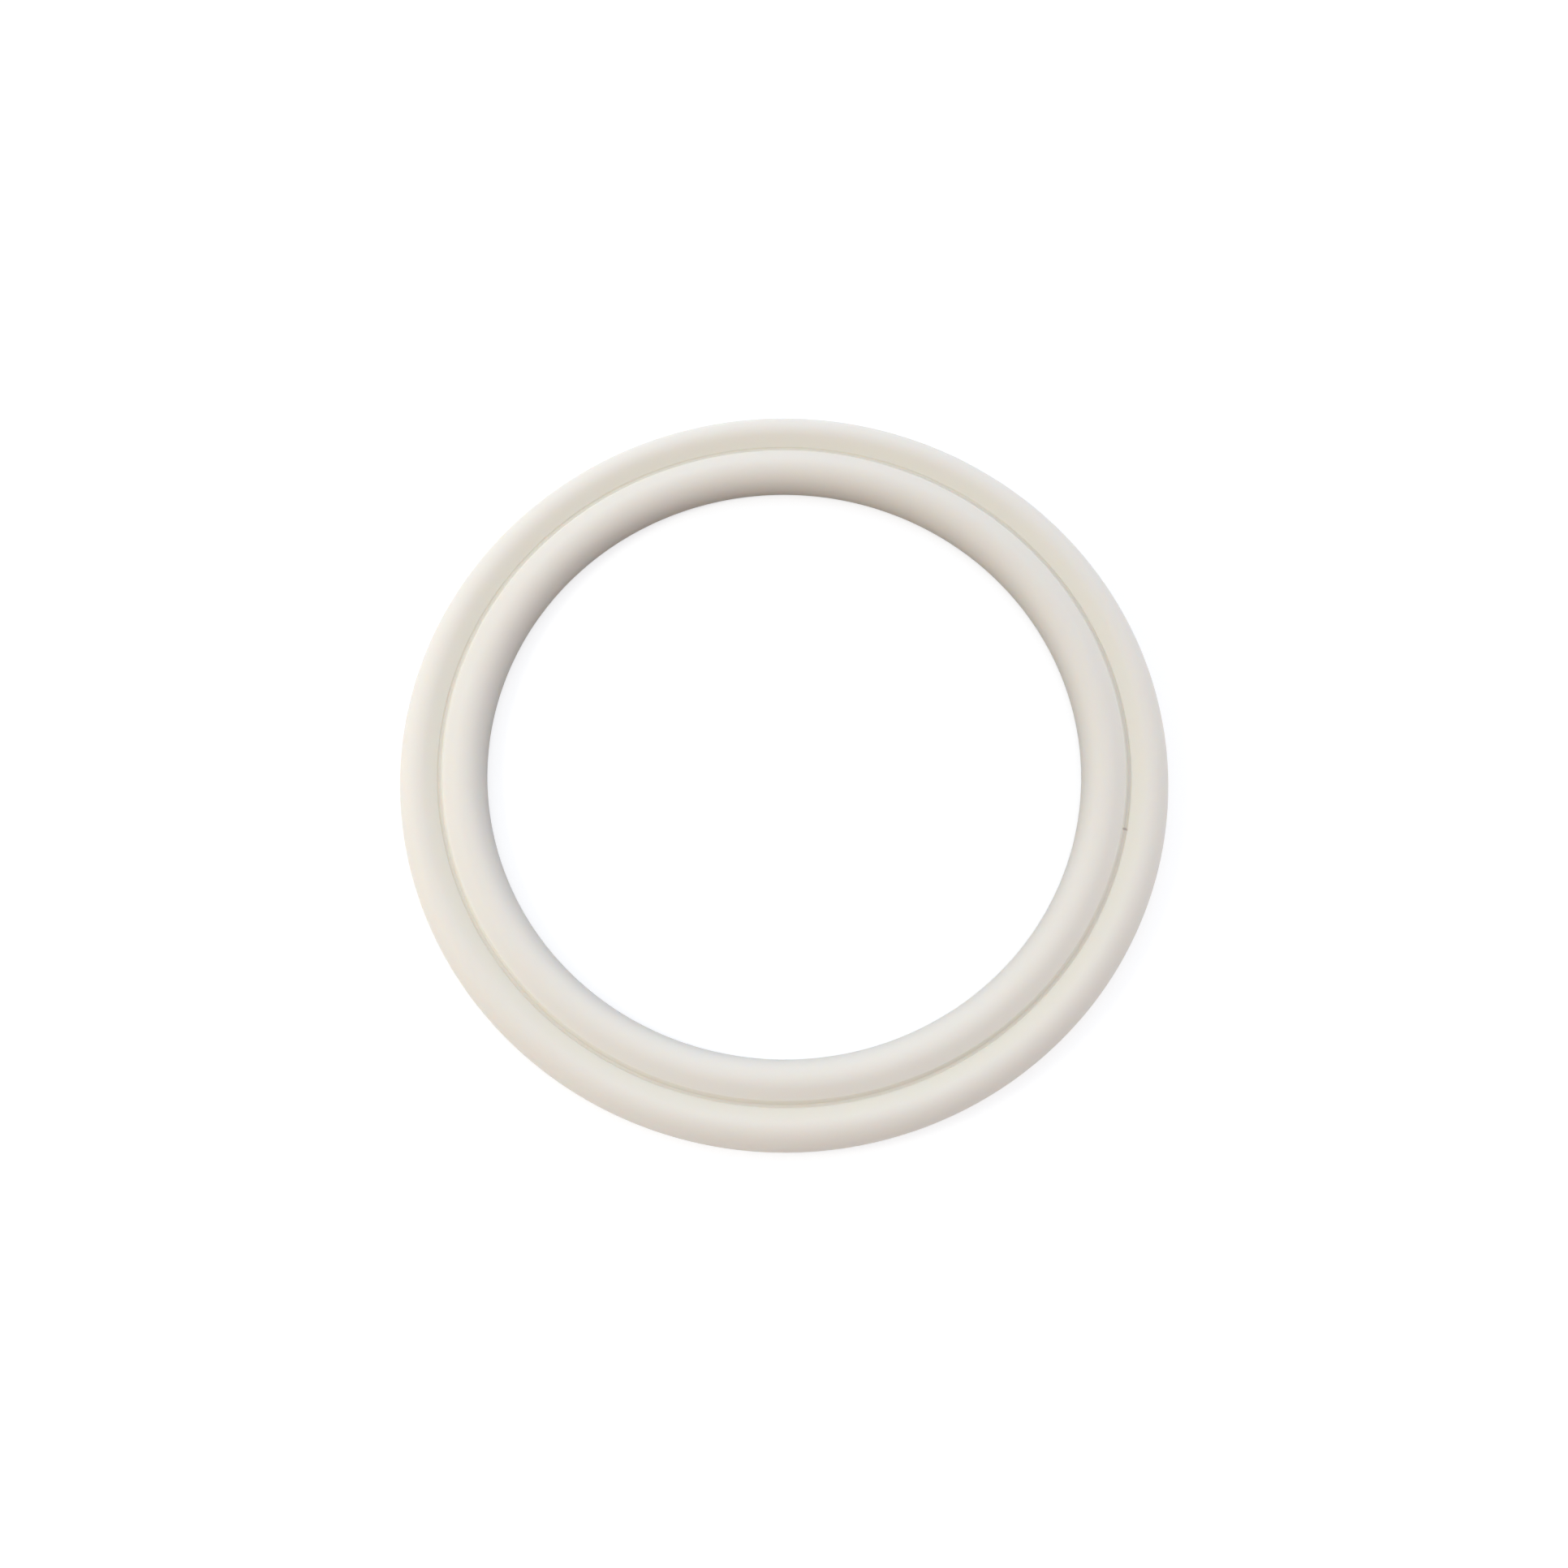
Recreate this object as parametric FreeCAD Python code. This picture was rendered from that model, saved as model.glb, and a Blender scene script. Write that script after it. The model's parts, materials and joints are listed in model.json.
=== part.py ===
# Seal ring with two round beads, moulded in one piece from silicone rubber.
# The ring lies flat on its underside. Across its section, from the bore outwards, it has
# an inner bead with a round crown and a straight flank, a narrow groove, and a slightly
# lower outer bead whose straight flank rises from the groove to a round crown.
# Units are millimetres. The origin is the centre of the bore in the plane of the
# underside, and +Z is the axis of the ring.
import FreeCAD
import Part
import math
import os

# Driving dimensions, across the section from the axis outwards
bore_diameter = 57.4        # clear diameter inside the inner bead
inner_bead_width = 3.93     # from the bore to the groove's inner lip
inner_wall_width = 0.28     # sloped inner wall of the groove
groove_floor_width = 0.28   # flat floor of the groove, before rounding
outer_wall_width = 0.07     # sloped outer wall of the groove
outer_bead_width = 3.74     # from the groove's outer lip to the rim

# Driving dimensions, up the section
bore_wall_height = 0.21     # upright part of the bore, between its two rounds
crown_step = 0.22           # outer crown below the inner crown
groove_depth = 0.12         # floor of the groove below its outer lip, before rounding

# Rounds and slopes
inner_crown_radius = 2.24   # round top of the inner bead
outer_crown_radius = 1.94   # round top of the outer bead
inner_flank_angle = 20      # slope in degrees of the inner bead's flank beside the groove
outer_flank_angle = 22      # slope in degrees of the outer bead's flank beside the groove
lip_round = 0.06            # rounding of the groove's two lips
floor_round = 0.06          # rounding at the foot of the groove's two walls
bore_foot_round = 0.3       # rounding between the underside and the bore
rim_foot_round = 0.25       # rounding between the underside and the rim

axis_point = FreeCAD.Vector(0, 0, 0)
axis_direction = FreeCAD.Vector(0, 0, 1)

# Radii of the groove's two lips
inner_lip_radius = bore_diameter / 2 + inner_bead_width
outer_lip_radius = inner_lip_radius + inner_wall_width + groove_floor_width + outer_wall_width

# Heights of the two crowns above the underside
inner_crown_height = bore_foot_round + bore_wall_height + inner_crown_radius
outer_crown_height = inner_crown_height - crown_step


def lip_height(bead_width, crown_height, crown_radius, flank_angle):
    """Height at which a bead's straight flank ends at the groove, before rounding."""
    slope = math.radians(flank_angle)
    flank_width = bead_width - crown_radius * (1 + math.sin(slope))
    flank_top = crown_height - crown_radius * (1 - math.cos(slope))
    return flank_top - flank_width * math.tan(slope)


inner_lip_height = lip_height(
    inner_bead_width, inner_crown_height, inner_crown_radius, inner_flank_angle
)
outer_lip_height = lip_height(
    outer_bead_width, outer_crown_height, outer_crown_radius, outer_flank_angle
)
groove_floor_height = outer_lip_height - groove_depth


def bead_arcs(width, height, crown, flank_angle, lip, wall_width, foot):
    """Arcs of a bead from the groove's floor over the crown to the underside.

    Each is (across, up, radius, first angle, last angle), with across counted from the
    bead's lip away from the groove, 0 degrees pointing away from it and 90 up.
    """
    slope = math.radians(flank_angle)
    wall = math.atan2(lip - groove_floor_height, wall_width)
    wall_normal = 90 + math.degrees(wall)
    flank_normal = 90 + flank_angle
    floor_across = -wall_width - floor_round * math.tan(wall / 2)
    lip_sink = lip_round * (math.sin(wall) - math.sin(slope)) / math.sin(wall - slope)
    lip_across = (lip_round - lip_sink * math.cos(wall)) / math.sin(wall)
    return [
        (floor_across, groove_floor_height + floor_round, floor_round, 270, wall_normal + 180),
        (lip_across, lip - lip_sink, lip_round, wall_normal, flank_normal),
        (width - crown, height - crown, crown, flank_normal, 0),
        (width - foot, foot, foot, 0, -90),
    ]


def arc_points(centre_radius, centre_height, radius, first_angle, last_angle):
    """Start, middle and end of an arc in the plane through the axis and +X."""
    points = []
    for angle in (first_angle, (first_angle + last_angle) / 2, last_angle):
        across = radius * math.cos(math.radians(angle))
        up = radius * math.sin(math.radians(angle))
        points.append(FreeCAD.Vector(centre_radius + across, 0, centre_height + up))
    return points


def inner_bead_arcs():
    """Arcs of the inner bead, from the underside over the crown to the groove's floor."""
    arcs = bead_arcs(
        inner_bead_width, inner_crown_height, inner_crown_radius, inner_flank_angle,
        inner_lip_height, inner_wall_width, bore_foot_round,
    )
    mirrored = []
    for across, up, radius, first, last in reversed(arcs):
        mirrored.append(arc_points(inner_lip_radius - across, up, radius, 180 - last, 180 - first))
    return mirrored


def outer_bead_arcs():
    """Arcs of the outer bead, from the groove's floor over the crown to the underside."""
    arcs = bead_arcs(
        outer_bead_width, outer_crown_height, outer_crown_radius, outer_flank_angle,
        outer_lip_height, outer_wall_width, rim_foot_round,
    )
    return [arc_points(outer_lip_radius + across, *rest) for across, *rest in arcs]


def ring_section():
    """The section as one face: its arcs in order, and straight edges where they part."""
    arcs = inner_bead_arcs() + outer_bead_arcs()
    edges = []
    for arc, next_arc in zip(arcs, arcs[1:] + arcs[:1]):
        edges.append(Part.Arc(*arc).toShape())
        if not arc[-1].isEqual(next_arc[0], 1e-7):
            edges.append(Part.LineSegment(arc[-1], next_arc[0]).toShape())
    return Part.Face(Part.Wire(edges))


def seal_ring():
    return ring_section().revolve(axis_point, axis_direction, 360)


os.makedirs("parts", exist_ok=True)
seal_ring().exportStep("parts/seal_ring.step")
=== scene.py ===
import json
import math

import bmesh
import bpy
from bpy.props import FloatProperty, FloatVectorProperty, IntProperty, PointerProperty
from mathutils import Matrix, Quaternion, Vector


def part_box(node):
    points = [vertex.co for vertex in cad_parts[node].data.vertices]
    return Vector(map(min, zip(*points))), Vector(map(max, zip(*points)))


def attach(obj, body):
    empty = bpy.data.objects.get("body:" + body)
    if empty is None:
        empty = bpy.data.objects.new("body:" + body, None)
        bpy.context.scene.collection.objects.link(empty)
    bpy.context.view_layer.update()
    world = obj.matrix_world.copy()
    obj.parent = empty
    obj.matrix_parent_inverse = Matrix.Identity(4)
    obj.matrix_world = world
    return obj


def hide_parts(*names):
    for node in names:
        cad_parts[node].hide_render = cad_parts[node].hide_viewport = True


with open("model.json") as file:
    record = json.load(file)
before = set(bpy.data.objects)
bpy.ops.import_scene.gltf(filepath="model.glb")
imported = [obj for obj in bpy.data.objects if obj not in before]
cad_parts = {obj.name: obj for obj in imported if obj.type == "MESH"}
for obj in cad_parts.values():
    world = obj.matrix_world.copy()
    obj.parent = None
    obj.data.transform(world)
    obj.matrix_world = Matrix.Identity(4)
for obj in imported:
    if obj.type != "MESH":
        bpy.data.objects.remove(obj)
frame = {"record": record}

bl_info = {
    "name": "Double-Bead Seal Ring",
    "version": (1, 0, 0),
    "blender": (4, 5, 0),
    "location": "3D View > Sidebar > Seal Ring",
    "description": "Models a moulded silicone seal ring and lights it on a plain pale floor",
    "category": "Mesh",
}

NODE = "seal_ring"
MM = 0.001
MERGE_DISTANCE = 0.0001 * MM

# Turn from one point of an arc to the next: smaller where the arc's radius is over the limit
LARGE_ARC_RADIUS = 0.5 * MM
LARGE_ARC_STEP = math.radians(3)
SMALL_ARC_STEP = math.radians(15)

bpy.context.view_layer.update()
node_low, node_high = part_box(NODE)
bore_mount = next(mount for mount in frame["record"]["mounts"] if mount["name"] == "bore")


def length_property(name, description, default):
    return FloatProperty(name=name, description=description, default=default, unit="LENGTH", precision=5)


def angle_property(name, description, degrees):
    return FloatProperty(
        name=name, description=description, default=math.radians(degrees), subtype="ANGLE"
    )


def colour_property(name, description, default):
    return FloatVectorProperty(
        name=name, description=description, default=default, subtype="COLOR", size=3, min=0, max=1
    )


class SealRingSizes(bpy.types.PropertyGroup):
    """Sizes of the ring's section and of its mesh."""

    outer_diameter: length_property(
        "Outer Diameter", "Diameter over the rim", node_high[0] - node_low[0]
    )
    bore_diameter: length_property(
        "Bore Diameter", "Clear diameter inside the inner bead", 2 * bore_mount["dims"]["r_mm"] * MM
    )
    inner_bead_width: length_property(
        "Inner Bead Width", "From the bore to the groove's inner lip", 3.93 * MM
    )
    inner_wall_width: length_property("Inner Wall Width", "Sloped inner wall of the groove", 0.28 * MM)
    groove_floor_width: length_property("Groove Floor Width", "Flat floor of the groove", 0.28 * MM)
    outer_wall_width: length_property("Outer Wall Width", "Sloped outer wall of the groove", 0.07 * MM)
    inner_bead_height: length_property(
        "Inner Bead Height", "Crown of the inner bead above the underside", node_high[2] - node_low[2]
    )
    crown_step: length_property("Crown Step", "Outer crown below the inner crown", 0.22 * MM)
    groove_depth: length_property("Groove Depth", "Floor of the groove below its outer lip", 0.12 * MM)
    inner_crown_radius: length_property("Inner Crown Radius", "Round top of the inner bead", 2.24 * MM)
    outer_crown_radius: length_property("Outer Crown Radius", "Round top of the outer bead", 1.94 * MM)
    inner_flank_angle: angle_property(
        "Inner Flank Angle", "Slope of the inner bead's flank beside the groove", 20
    )
    outer_flank_angle: angle_property(
        "Outer Flank Angle", "Slope of the outer bead's flank beside the groove", 22
    )
    lip_round: length_property("Lip Rounding", "Radius of the groove's two lips", 0.06 * MM)
    floor_round: length_property("Floor Rounding", "Radius at the foot of the groove's walls", 0.06 * MM)
    bore_foot_round: length_property(
        "Bore Foot Rounding", "Radius between the underside and the bore", 0.3 * MM
    )
    rim_foot_round: length_property(
        "Rim Foot Rounding", "Radius between the underside and the rim", 0.25 * MM
    )
    steps_round: IntProperty(
        name="Steps Round", description="Faces round the ring", default=720, min=24
    )


class SiliconeFinish(bpy.types.PropertyGroup):
    """Colours of the silicone rubber, a painted warm shade for the groove, and the small mark on it."""

    body_colour: colour_property("Body Colour", "Main off-white of the rubber", (0.80, 0.765, 0.705))
    warm_colour: colour_property("Warm Colour", "Warmer tint that drifts over it", (0.79, 0.745, 0.675))
    # Painted shade: the groove's tint is colour standing in for the warm, dim light in the recess
    groove_shade_colour: colour_property(
        "Groove Colour", "Yellower tint in the groove and beside it", (0.795, 0.758, 0.667)
    )
    speck_colour: colour_property("Speck Colour", "Brown mark across the groove", (0.30, 0.17, 0.14))
    speck_turn: angle_property("Speck Turn", "Where the mark lies round the ring, from the right", -11.4)
    speck_half_length: length_property(
        "Speck Half Length", "From the mark's middle to its end, across the groove", 0.28 * MM
    )
    speck_half_width: length_property(
        "Speck Half Width", "From the mark's middle to its side, along the groove", 0.13 * MM
    )


class StageSettings(bpy.types.PropertyGroup):
    """Floor, sky, lamp and camera."""

    floor_width: length_property("Floor Width", "Side of the square floor", 3)
    sky_strength: FloatProperty(
        name="Sky Strength", description="Strength of the soft light from all round", default=1.475
    )
    sky_front_colour: colour_property(
        "Sky Front Colour", "Soft light from the front, dim and warm", (0.302, 0.250, 0.219)
    )
    sky_back_colour: colour_property(
        "Sky Back Colour", "Soft light from behind, bright and cool", (0.819, 0.897, 1)
    )
    key_power: FloatProperty(
        name="Key Power", description="Power of the lamp at the left", default=0.207, unit="POWER"
    )
    key_colour: colour_property("Key Colour", "Warm light of the lamp", (1, 0.976, 0.817))
    key_turn: angle_property("Key Turn", "Where the lamp stands round the ring, from the right", 185)
    key_elevation: angle_property("Key Elevation", "Angle of the lamp above the floor", 37)
    key_distance: length_property("Key Distance", "From the lamp to the middle of the bore", 0.3)
    key_size: length_property("Key Size", "Diameter of the lamp", 0.075)
    camera_turn: angle_property(
        "Camera Turn", "Where the camera stands round the ring, from the right", -90
    )
    camera_elevation: angle_property("Camera Elevation", "Angle of the camera above the floor", 72)
    camera_roll: angle_property("Camera Roll", "Turn of the picture about the line of sight", 1.07)
    camera_distance: length_property(
        "Camera Distance", "From the camera to the middle of the bore", 0.165
    )
    focal_length: FloatProperty(
        name="Focal Length", description="Focal length in millimetres", default=39.07, unit="CAMERA"
    )
    shift_right: FloatProperty(
        name="Shift Right", description="Sideways shift of the lens, in picture widths",
        default=-0.00035, precision=5,
    )
    shift_up: FloatProperty(
        name="Shift Up", description="Upward shift of the lens, in picture widths",
        default=-0.01335, precision=5,
    )


def on_arc(centre, radius, angle):
    """A point of an arc in the section's plane: angle 0 points outwards, a right angle up."""
    return centre + radius * Vector((math.cos(angle), 0, math.sin(angle)))


def draw_arc(bm, centre_radius, centre_height, radius, first_degrees, last_degrees):
    """Spin a point into one arc of the section, and return the arc's first and last vertex."""
    centre = Vector((centre_radius, 0, centre_height))
    first = math.radians(first_degrees)
    turn = math.radians(last_degrees) - first
    step = LARGE_ARC_STEP if radius > LARGE_ARC_RADIUS else SMALL_ARC_STEP
    start = bm.verts.new(on_arc(centre, radius, first))
    made = bmesh.ops.spin(
        bm, geom=[start], cent=centre, axis=(0, -1, 0), dvec=(0, 0, 0), angle=turn,
        steps=max(2, round(abs(turn) / step)),
        use_merge=False, use_normal_flip=False, use_duplicate=False,
    )
    end = next(part for part in made["geom_last"] if isinstance(part, bmesh.types.BMVert))
    return start, end


def lip_radii(sizes):
    """Radii of the groove's inner and outer lip."""
    inner_lip = sizes.bore_diameter / 2 + sizes.inner_bead_width
    groove_width = sizes.inner_wall_width + sizes.groove_floor_width + sizes.outer_wall_width
    return inner_lip, inner_lip + groove_width


def lip_height(width, height, crown, slope):
    """Height at which a bead's straight flank ends at the groove, before rounding."""
    flank_width = width - crown * (1 + math.sin(slope))
    flank_top = height - crown * (1 - math.cos(slope))
    return flank_top - flank_width * math.tan(slope)


def bead_arcs(sizes, width, height, crown, slope, floor, wall_width, foot):
    """A bead's arcs from the groove's floor over the crown to the underside, counted from its lip."""
    corner = lip_height(width, height, crown, slope)
    wall = math.atan2(corner - floor, wall_width)
    lip = sizes.lip_round
    small = sizes.floor_round
    lip_sink = lip * (math.sin(wall) - math.sin(slope)) / math.sin(wall - slope)
    lip_across = (lip - lip_sink * math.cos(wall)) / math.sin(wall)
    wall_normal = 90 + math.degrees(wall)
    flank_normal = 90 + math.degrees(slope)
    return [
        (-wall_width - small * math.tan(wall / 2), floor + small, small, 270, 180 + wall_normal),
        (lip_across, corner - lip_sink, lip, wall_normal, flank_normal),
        (width - crown, height - crown, crown, flank_normal, 0),
        (width - foot, foot, foot, 0, -90),
    ]


def section_arcs(sizes):
    """The section's arcs in order: over the inner bead, through the groove, over the outer bead."""
    inner_lip, outer_lip = lip_radii(sizes)
    inner = (
        sizes.inner_bead_width, sizes.inner_bead_height, sizes.inner_crown_radius, sizes.inner_flank_angle
    )
    outer = (
        sizes.outer_diameter / 2 - outer_lip, sizes.inner_bead_height - sizes.crown_step,
        sizes.outer_crown_radius, sizes.outer_flank_angle,
    )
    floor = lip_height(*outer) - sizes.groove_depth
    inner_arcs = bead_arcs(sizes, *inner, floor, sizes.inner_wall_width, sizes.bore_foot_round)
    outer_arcs = bead_arcs(sizes, *outer, floor, sizes.outer_wall_width, sizes.rim_foot_round)
    arcs = [
        (inner_lip - across, up, radius, 180 - last, 180 - first)
        for across, up, radius, first, last in reversed(inner_arcs)
    ]
    return arcs + [(outer_lip + across, *rest) for across, *rest in outer_arcs]


def draw_section(bm, sizes):
    """Draw the closed outline of the ring's section: its arcs, joined by straight edges."""
    ends = [draw_arc(bm, *arc) for arc in section_arcs(sizes)]
    for (_, last), (first, _) in zip(ends, ends[1:] + ends[:1]):
        bm.edges.new((last, first))


def seal_ring_mesh(sizes):
    """The ring's mesh: its section, spun once round the axis."""
    bm = bmesh.new()
    draw_section(bm, sizes)
    bmesh.ops.spin(
        bm, geom=bm.verts[:] + bm.edges[:], cent=(0, 0, 0), axis=(0, 0, 1), dvec=(0, 0, 0),
        angle=2 * math.pi, steps=sizes.steps_round,
        use_merge=True, use_normal_flip=False, use_duplicate=False,
    )
    bmesh.ops.remove_doubles(bm, verts=bm.verts[:], dist=MERGE_DISTANCE)
    bmesh.ops.recalc_face_normals(bm, faces=bm.faces[:])
    for face in bm.faces:
        face.smooth = True
    mesh = bpy.data.meshes.new("seal_ring_skin")
    bm.to_mesh(mesh)
    bm.free()
    return mesh


def feed(tree, socket, value):
    """Link another node's output to a socket, or give the socket a plain value."""
    if isinstance(value, bpy.types.NodeSocket):
        tree.links.new(value, socket)
    else:
        socket.default_value = value


def calculate(tree, operation, *values):
    """The result of one step of arithmetic on numbers or other nodes' outputs."""
    node = tree.nodes.new("ShaderNodeMath")
    node.operation = operation
    for socket, value in zip(node.inputs, values):
        feed(tree, socket, value)
    return node.outputs[0]


def length_of(tree, vector):
    """The length of a vector: of a place, how far it is from the middle of the bore."""
    node = tree.nodes.new("ShaderNodeVectorMath")
    node.operation = "LENGTH"
    feed(tree, node.inputs[0], vector)
    return node.outputs["Value"]


def fade(tree, value, start, end, first, last):
    """A value that goes smoothly from first to last as the given one goes from start to end."""
    ramp = tree.nodes.new("ShaderNodeMapRange")
    ramp.interpolation_type = "SMOOTHSTEP"
    feed(tree, ramp.inputs["Value"], value)
    feed(tree, ramp.inputs["From Min"], start)
    feed(tree, ramp.inputs["From Max"], end)
    feed(tree, ramp.inputs["To Min"], first)
    feed(tree, ramp.inputs["To Max"], last)
    return ramp.outputs["Result"]


def noise(tree, place, scale, detail):
    """A value that wanders from place to place, in smaller spots at a larger scale."""
    node = tree.nodes.new("ShaderNodeTexNoise")
    feed(tree, node.inputs["Vector"], place)
    feed(tree, node.inputs["Scale"], scale)
    feed(tree, node.inputs["Detail"], detail)
    return node.outputs["Fac"]


def opaque(colour):
    """A colour as a shader's socket takes it, with its fourth value."""
    return (*colour, 1)


def mix_colours(tree, share, first, second):
    """One colour laid over another: share 0 shows the first, share 1 the second."""
    node = tree.nodes.new("ShaderNodeMix")
    node.data_type = "RGBA"
    feed(tree, node.inputs["Factor"], share)
    feed(tree, node.inputs["A"], first)
    feed(tree, node.inputs["B"], second)
    return node.outputs["Result"]


def mix_shaders(tree, share, first, second):
    """One shader in place of another: share 0 shows the first, share 1 the second."""
    node = tree.nodes.new("ShaderNodeMixShader")
    for socket, output in zip(node.inputs, (share, first, second)):
        tree.links.new(output, socket)
    return node.outputs[0]


def groove_shade_mask(tree, place, sizes):
    """Where the groove's painted shade lies: full in the groove, ending quickly on the inner bead and
    slowly on the outer one.
    """
    inner_lip, outer_lip = lip_radii(sizes)
    reach = length_of(tree, place)
    inner_side = fade(tree, reach, inner_lip - 0.23 * MM, inner_lip + 0.37 * MM, 0, 1)
    outer_side = fade(tree, reach, outer_lip + 0.34 * MM, outer_lip + 2.14 * MM, 1, 0)
    return calculate(tree, "MULTIPLY", inner_side, outer_side)


def speck_mask(tree, place, finish, sizes):
    """Where the small arched mark lies across the groove, at the right of the ring."""
    inner_lip, _ = lip_radii(sizes)
    turn = finish.speck_turn
    middle = (inner_lip + 0.37 * MM) * Vector((math.cos(turn), math.sin(turn), 0))
    half_size = (finish.speck_half_length, finish.speck_half_width, 1)
    arch_height = 0.8
    full_reach, clear_reach = 0.5, 1.3
    strength = 0.45

    local = tree.nodes.new("ShaderNodeMapping")
    local.vector_type = "TEXTURE"
    feed(tree, local.inputs["Vector"], place)
    feed(tree, local.inputs["Location"], middle)
    feed(tree, local.inputs["Rotation"], (0, 0, turn))
    feed(tree, local.inputs["Scale"], half_size)
    parts = tree.nodes.new("ShaderNodeSeparateXYZ")
    feed(tree, parts.inputs["Vector"], local.outputs["Vector"])
    across, along = parts.outputs["X"], parts.outputs["Y"]
    square = calculate(tree, "MULTIPLY", across, across)
    bent = tree.nodes.new("ShaderNodeCombineXYZ")
    feed(tree, bent.inputs["X"], across)
    feed(tree, bent.inputs["Y"], calculate(tree, "MULTIPLY_ADD", square, arch_height, along))
    reach = length_of(tree, bent.outputs["Vector"])
    return fade(tree, reach, full_reach, clear_reach, strength, 0)


def silicone_material(finish, sizes):
    """Off-white silicone rubber: satin, a little translucent, with a faint drifting tint and a painted
    warm shade in the groove.
    """
    material = bpy.data.materials.new("off_white_silicone")
    material.use_nodes = True
    tree = material.node_tree
    shader = tree.nodes["Principled BSDF"]
    place = tree.nodes.new("ShaderNodeTexCoord").outputs["Object"]
    drift = noise(tree, place, scale=55, detail=2)
    groove = groove_shade_mask(tree, place, sizes)
    speck = speck_mask(tree, place, finish, sizes)
    colour = mix_colours(tree, drift, opaque(finish.body_colour), opaque(finish.warm_colour))
    # Painted shade: a yellower, slightly darker tint in and beside the groove
    colour = mix_colours(tree, groove, colour, opaque(finish.groove_shade_colour))
    colour = mix_colours(tree, speck, colour, opaque(finish.speck_colour))
    feed(tree, shader.inputs["Base Color"], colour)

    # The mark stands out from the rubber's fine grain
    grain = noise(tree, place, scale=4500, detail=3)
    speck_height = 3
    bump = tree.nodes.new("ShaderNodeBump")
    bump.inputs["Strength"].default_value = 0.15
    bump.inputs["Distance"].default_value = 0.02 * MM
    feed(tree, bump.inputs["Height"], calculate(tree, "MULTIPLY_ADD", speck, speck_height, grain))
    feed(tree, shader.inputs["Normal"], bump.outputs["Normal"])

    shader.inputs["Roughness"].default_value = 0.55
    shader.inputs["IOR"].default_value = 1.41
    shader.inputs["Subsurface Weight"].default_value = 0.8
    shader.inputs["Subsurface Scale"].default_value = 1.2 * MM
    shader.inputs["Subsurface Radius"].default_value = (1.0, 0.8, 0.6)
    return material


def floor_material(sizes):
    """Pale floor: white where nothing shades it. Less of its bounce comes from inside the bore."""
    material = bpy.data.materials.new("pale_floor")
    material.use_nodes = True
    tree = material.node_tree
    tree.nodes.clear()
    output = tree.nodes.new("ShaderNodeOutputMaterial")

    # The light that it throws back on the ring
    place = tree.nodes.new("ShaderNodeTexCoord").outputs["Object"]
    reach = length_of(tree, place)
    dark_edge = sizes.bore_diameter / 2 - 0.7 * MM
    pale_edge = sizes.outer_diameter / 2 - 1 * MM
    dark, pale = 0.05, 0.85
    bounce = tree.nodes.new("ShaderNodeBsdfDiffuse")
    feed(tree, bounce.inputs["Color"], fade(tree, reach, dark_edge, pale_edge, dark, pale))

    # What is seen of it: part of the white is its own glow, which keeps the ring's shadow faint
    matt = tree.nodes.new("ShaderNodeBsdfDiffuse")
    matt.inputs["Color"].default_value = (0.45, 0.45, 0.45, 1)
    glow = tree.nodes.new("ShaderNodeEmission")
    glow.inputs["Strength"].default_value = 0.63
    shown = tree.nodes.new("ShaderNodeAddShader")
    feed(tree, shown.inputs[0], matt.outputs[0])
    feed(tree, shown.inputs[1], glow.outputs[0])

    rays = tree.nodes.new("ShaderNodeLightPath")
    seen = rays.outputs["Is Camera Ray"]
    for kind in ("Is Glossy Ray", "Is Transmission Ray"):
        seen = calculate(tree, "MAXIMUM", seen, rays.outputs[kind])
    mixed = mix_shaders(tree, seen, bounce.outputs[0], shown.outputs[0])
    feed(tree, output.inputs["Surface"], mixed)
    return material


def add_object(context, name, data):
    """Put new data into the scene as an object at the origin."""
    holder = bpy.data.objects.new(name, data)
    context.collection.objects.link(holder)
    return holder


def place_around(holder, distance, turn, elevation):
    """Move a lamp or the camera away from the middle of the bore, and point it there."""
    reach = math.cos(elevation)
    direction = Vector((reach * math.cos(turn), reach * math.sin(turn), math.sin(elevation)))
    holder.location = distance * direction
    holder.rotation_mode = "QUATERNION"
    holder.rotation_quaternion = (-direction).to_track_quat("-Z", "Y")


def add_floor(context, stage, sizes):
    """A flat square floor under the ring."""
    bm = bmesh.new()
    bmesh.ops.create_grid(bm, x_segments=1, y_segments=1, size=stage.floor_width / 2)
    mesh = bpy.data.meshes.new("floor")
    bm.to_mesh(mesh)
    bm.free()
    floor = add_object(context, "floor", mesh)
    floor.data.materials.append(floor_material(sizes))


def add_sky(scene, stage):
    """Soft light from all round, brighter and cooler from behind. The camera sees it as white."""
    world = bpy.data.worlds.new("studio")
    world.use_nodes = True
    tree = world.node_tree
    tree.nodes.clear()
    output = tree.nodes.new("ShaderNodeOutputWorld")
    parts = tree.nodes.new("ShaderNodeSeparateXYZ")
    feed(tree, parts.inputs["Vector"], tree.nodes.new("ShaderNodeTexCoord").outputs["Generated"])
    depth = tree.nodes.new("ShaderNodeMapRange")
    feed(tree, depth.inputs["From Min"], -1)
    feed(tree, depth.inputs["Value"], parts.outputs["Y"])
    front, back = opaque(stage.sky_front_colour), opaque(stage.sky_back_colour)
    light = tree.nodes.new("ShaderNodeBackground")
    feed(tree, light.inputs["Strength"], stage.sky_strength)
    feed(tree, light.inputs["Color"], mix_colours(tree, depth.outputs["Result"], front, back))
    white = tree.nodes.new("ShaderNodeBackground")
    white.inputs["Color"].default_value = (1, 1, 1, 1)
    seen = tree.nodes.new("ShaderNodeLightPath").outputs["Is Camera Ray"]
    feed(tree, output.inputs["Surface"], mix_shaders(tree, seen, light.outputs[0], white.outputs[0]))
    scene.world = world


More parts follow.
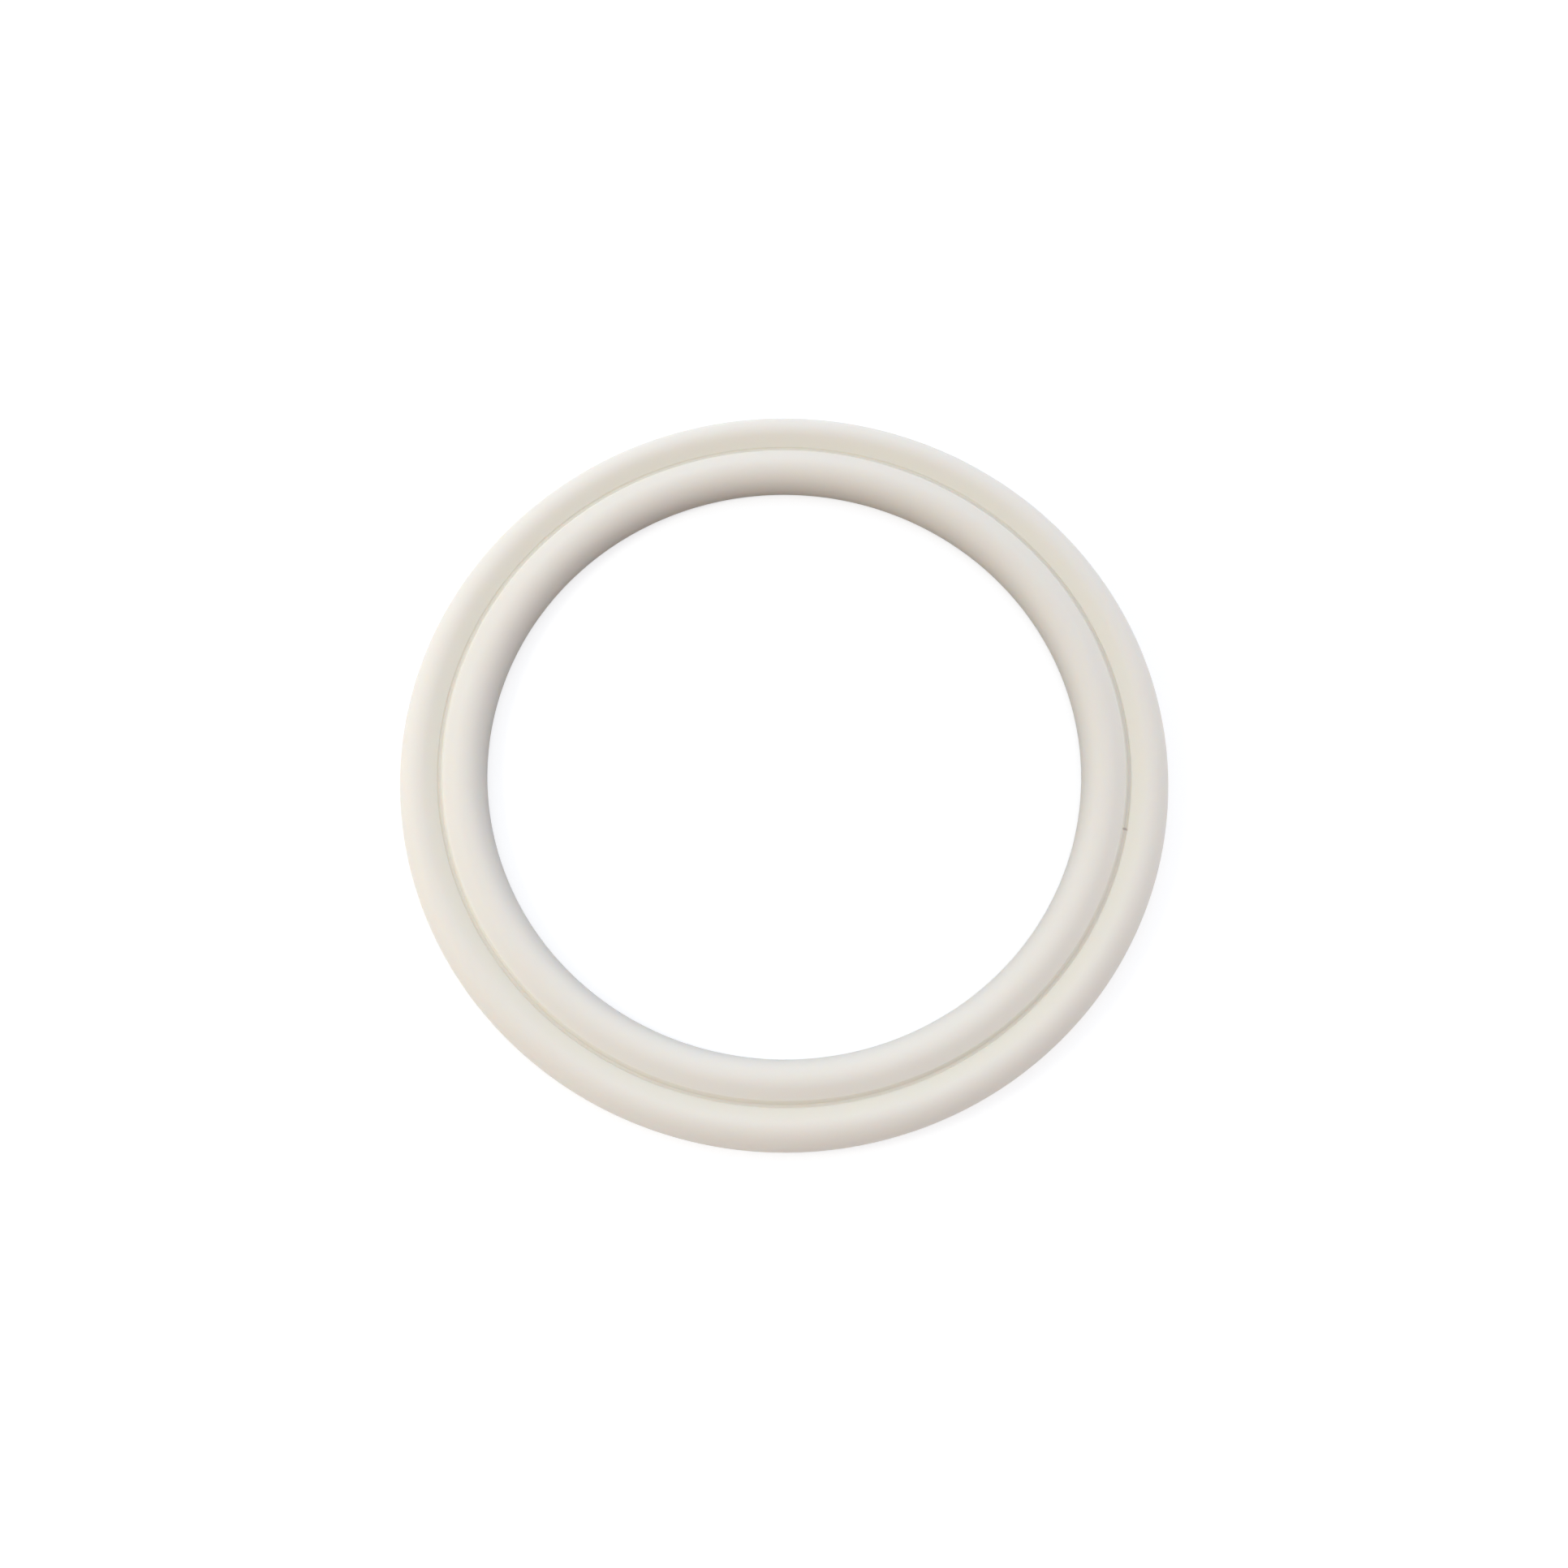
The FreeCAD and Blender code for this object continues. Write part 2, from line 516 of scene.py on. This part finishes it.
def add_key(context, stage):
    """A round soft lamp at the left, near enough to light that side more."""
    lamp = bpy.data.lights.new("key", "AREA")
    lamp.shape = "DISK"
    lamp.size = stage.key_size
    lamp.energy = stage.key_power
    lamp.color = stage.key_colour
    holder = add_object(context, "key", lamp)
    place_around(holder, stage.key_distance, stage.key_turn, stage.key_elevation)


def add_camera(context, stage):
    """The camera looks down on the ring from the front."""
    data = bpy.data.cameras.new("camera")
    data.lens = stage.focal_length
    data.sensor_width = 36
    data.shift_x = stage.shift_right
    data.shift_y = stage.shift_up
    data.clip_start = 0.01
    camera = add_object(context, "camera", data)
    place_around(camera, stage.camera_distance, stage.camera_turn, stage.camera_elevation)
    camera.rotation_quaternion = camera.rotation_quaternion @ Quaternion((0, 0, 1), stage.camera_roll)
    context.scene.camera = camera


class SEALRING_OT_make_ring(bpy.types.Operator):
    """Model the seal ring and give it its silicone finish"""

    bl_idname = "seal_ring.make_ring"
    bl_label = "Make Seal Ring"

    def execute(self, context):
        sizes = context.scene.seal_ring_sizes
        ring = add_object(context, "seal_ring_skin", seal_ring_mesh(sizes))
        ring.data.materials.append(silicone_material(context.scene.silicone_finish, sizes))
        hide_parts(NODE)
        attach(ring, "root")
        return {"FINISHED"}


class SEALRING_OT_set_stage(bpy.types.Operator):
    """Lay the floor and place the sky, the lamp and the camera"""

    bl_idname = "seal_ring.set_stage"
    bl_label = "Set Stage"

    def execute(self, context):
        scene = context.scene
        stage = scene.stage_settings
        add_floor(context, stage, scene.seal_ring_sizes)
        add_sky(scene, stage)
        add_key(context, stage)
        add_camera(context, stage)
        scene.view_settings.view_transform = "Standard"
        return {"FINISHED"}


class SEALRING_PT_panel(bpy.types.Panel):
    """Sizes, finish and stage of the seal ring"""

    bl_idname = "SEALRING_PT_panel"
    bl_label = "Seal Ring"
    bl_space_type = "VIEW_3D"
    bl_region_type = "UI"
    bl_category = "Seal Ring"

    def draw(self, context):
        layout = self.layout
        for group in (
            context.scene.seal_ring_sizes,
            context.scene.silicone_finish,
            context.scene.stage_settings,
        ):
            box = layout.box()
            for name in group.__annotations__:
                box.prop(group, name)
        layout.operator(SEALRING_OT_make_ring.bl_idname)
        layout.operator(SEALRING_OT_set_stage.bl_idname)


CLASSES = (
    SealRingSizes,
    SiliconeFinish,
    StageSettings,
    SEALRING_OT_make_ring,
    SEALRING_OT_set_stage,
    SEALRING_PT_panel,
)


def register():
    for item in CLASSES:
        bpy.utils.register_class(item)
    bpy.types.Scene.seal_ring_sizes = PointerProperty(type=SealRingSizes)
    bpy.types.Scene.silicone_finish = PointerProperty(type=SiliconeFinish)
    bpy.types.Scene.stage_settings = PointerProperty(type=StageSettings)


def unregister():
    del bpy.types.Scene.stage_settings
    del bpy.types.Scene.silicone_finish
    del bpy.types.Scene.seal_ring_sizes
    for item in reversed(CLASSES):
        bpy.utils.unregister_class(item)


def main():
    register()
    bpy.ops.seal_ring.make_ring()
    bpy.ops.seal_ring.set_stage()


if __name__ == "__main__":
    main()
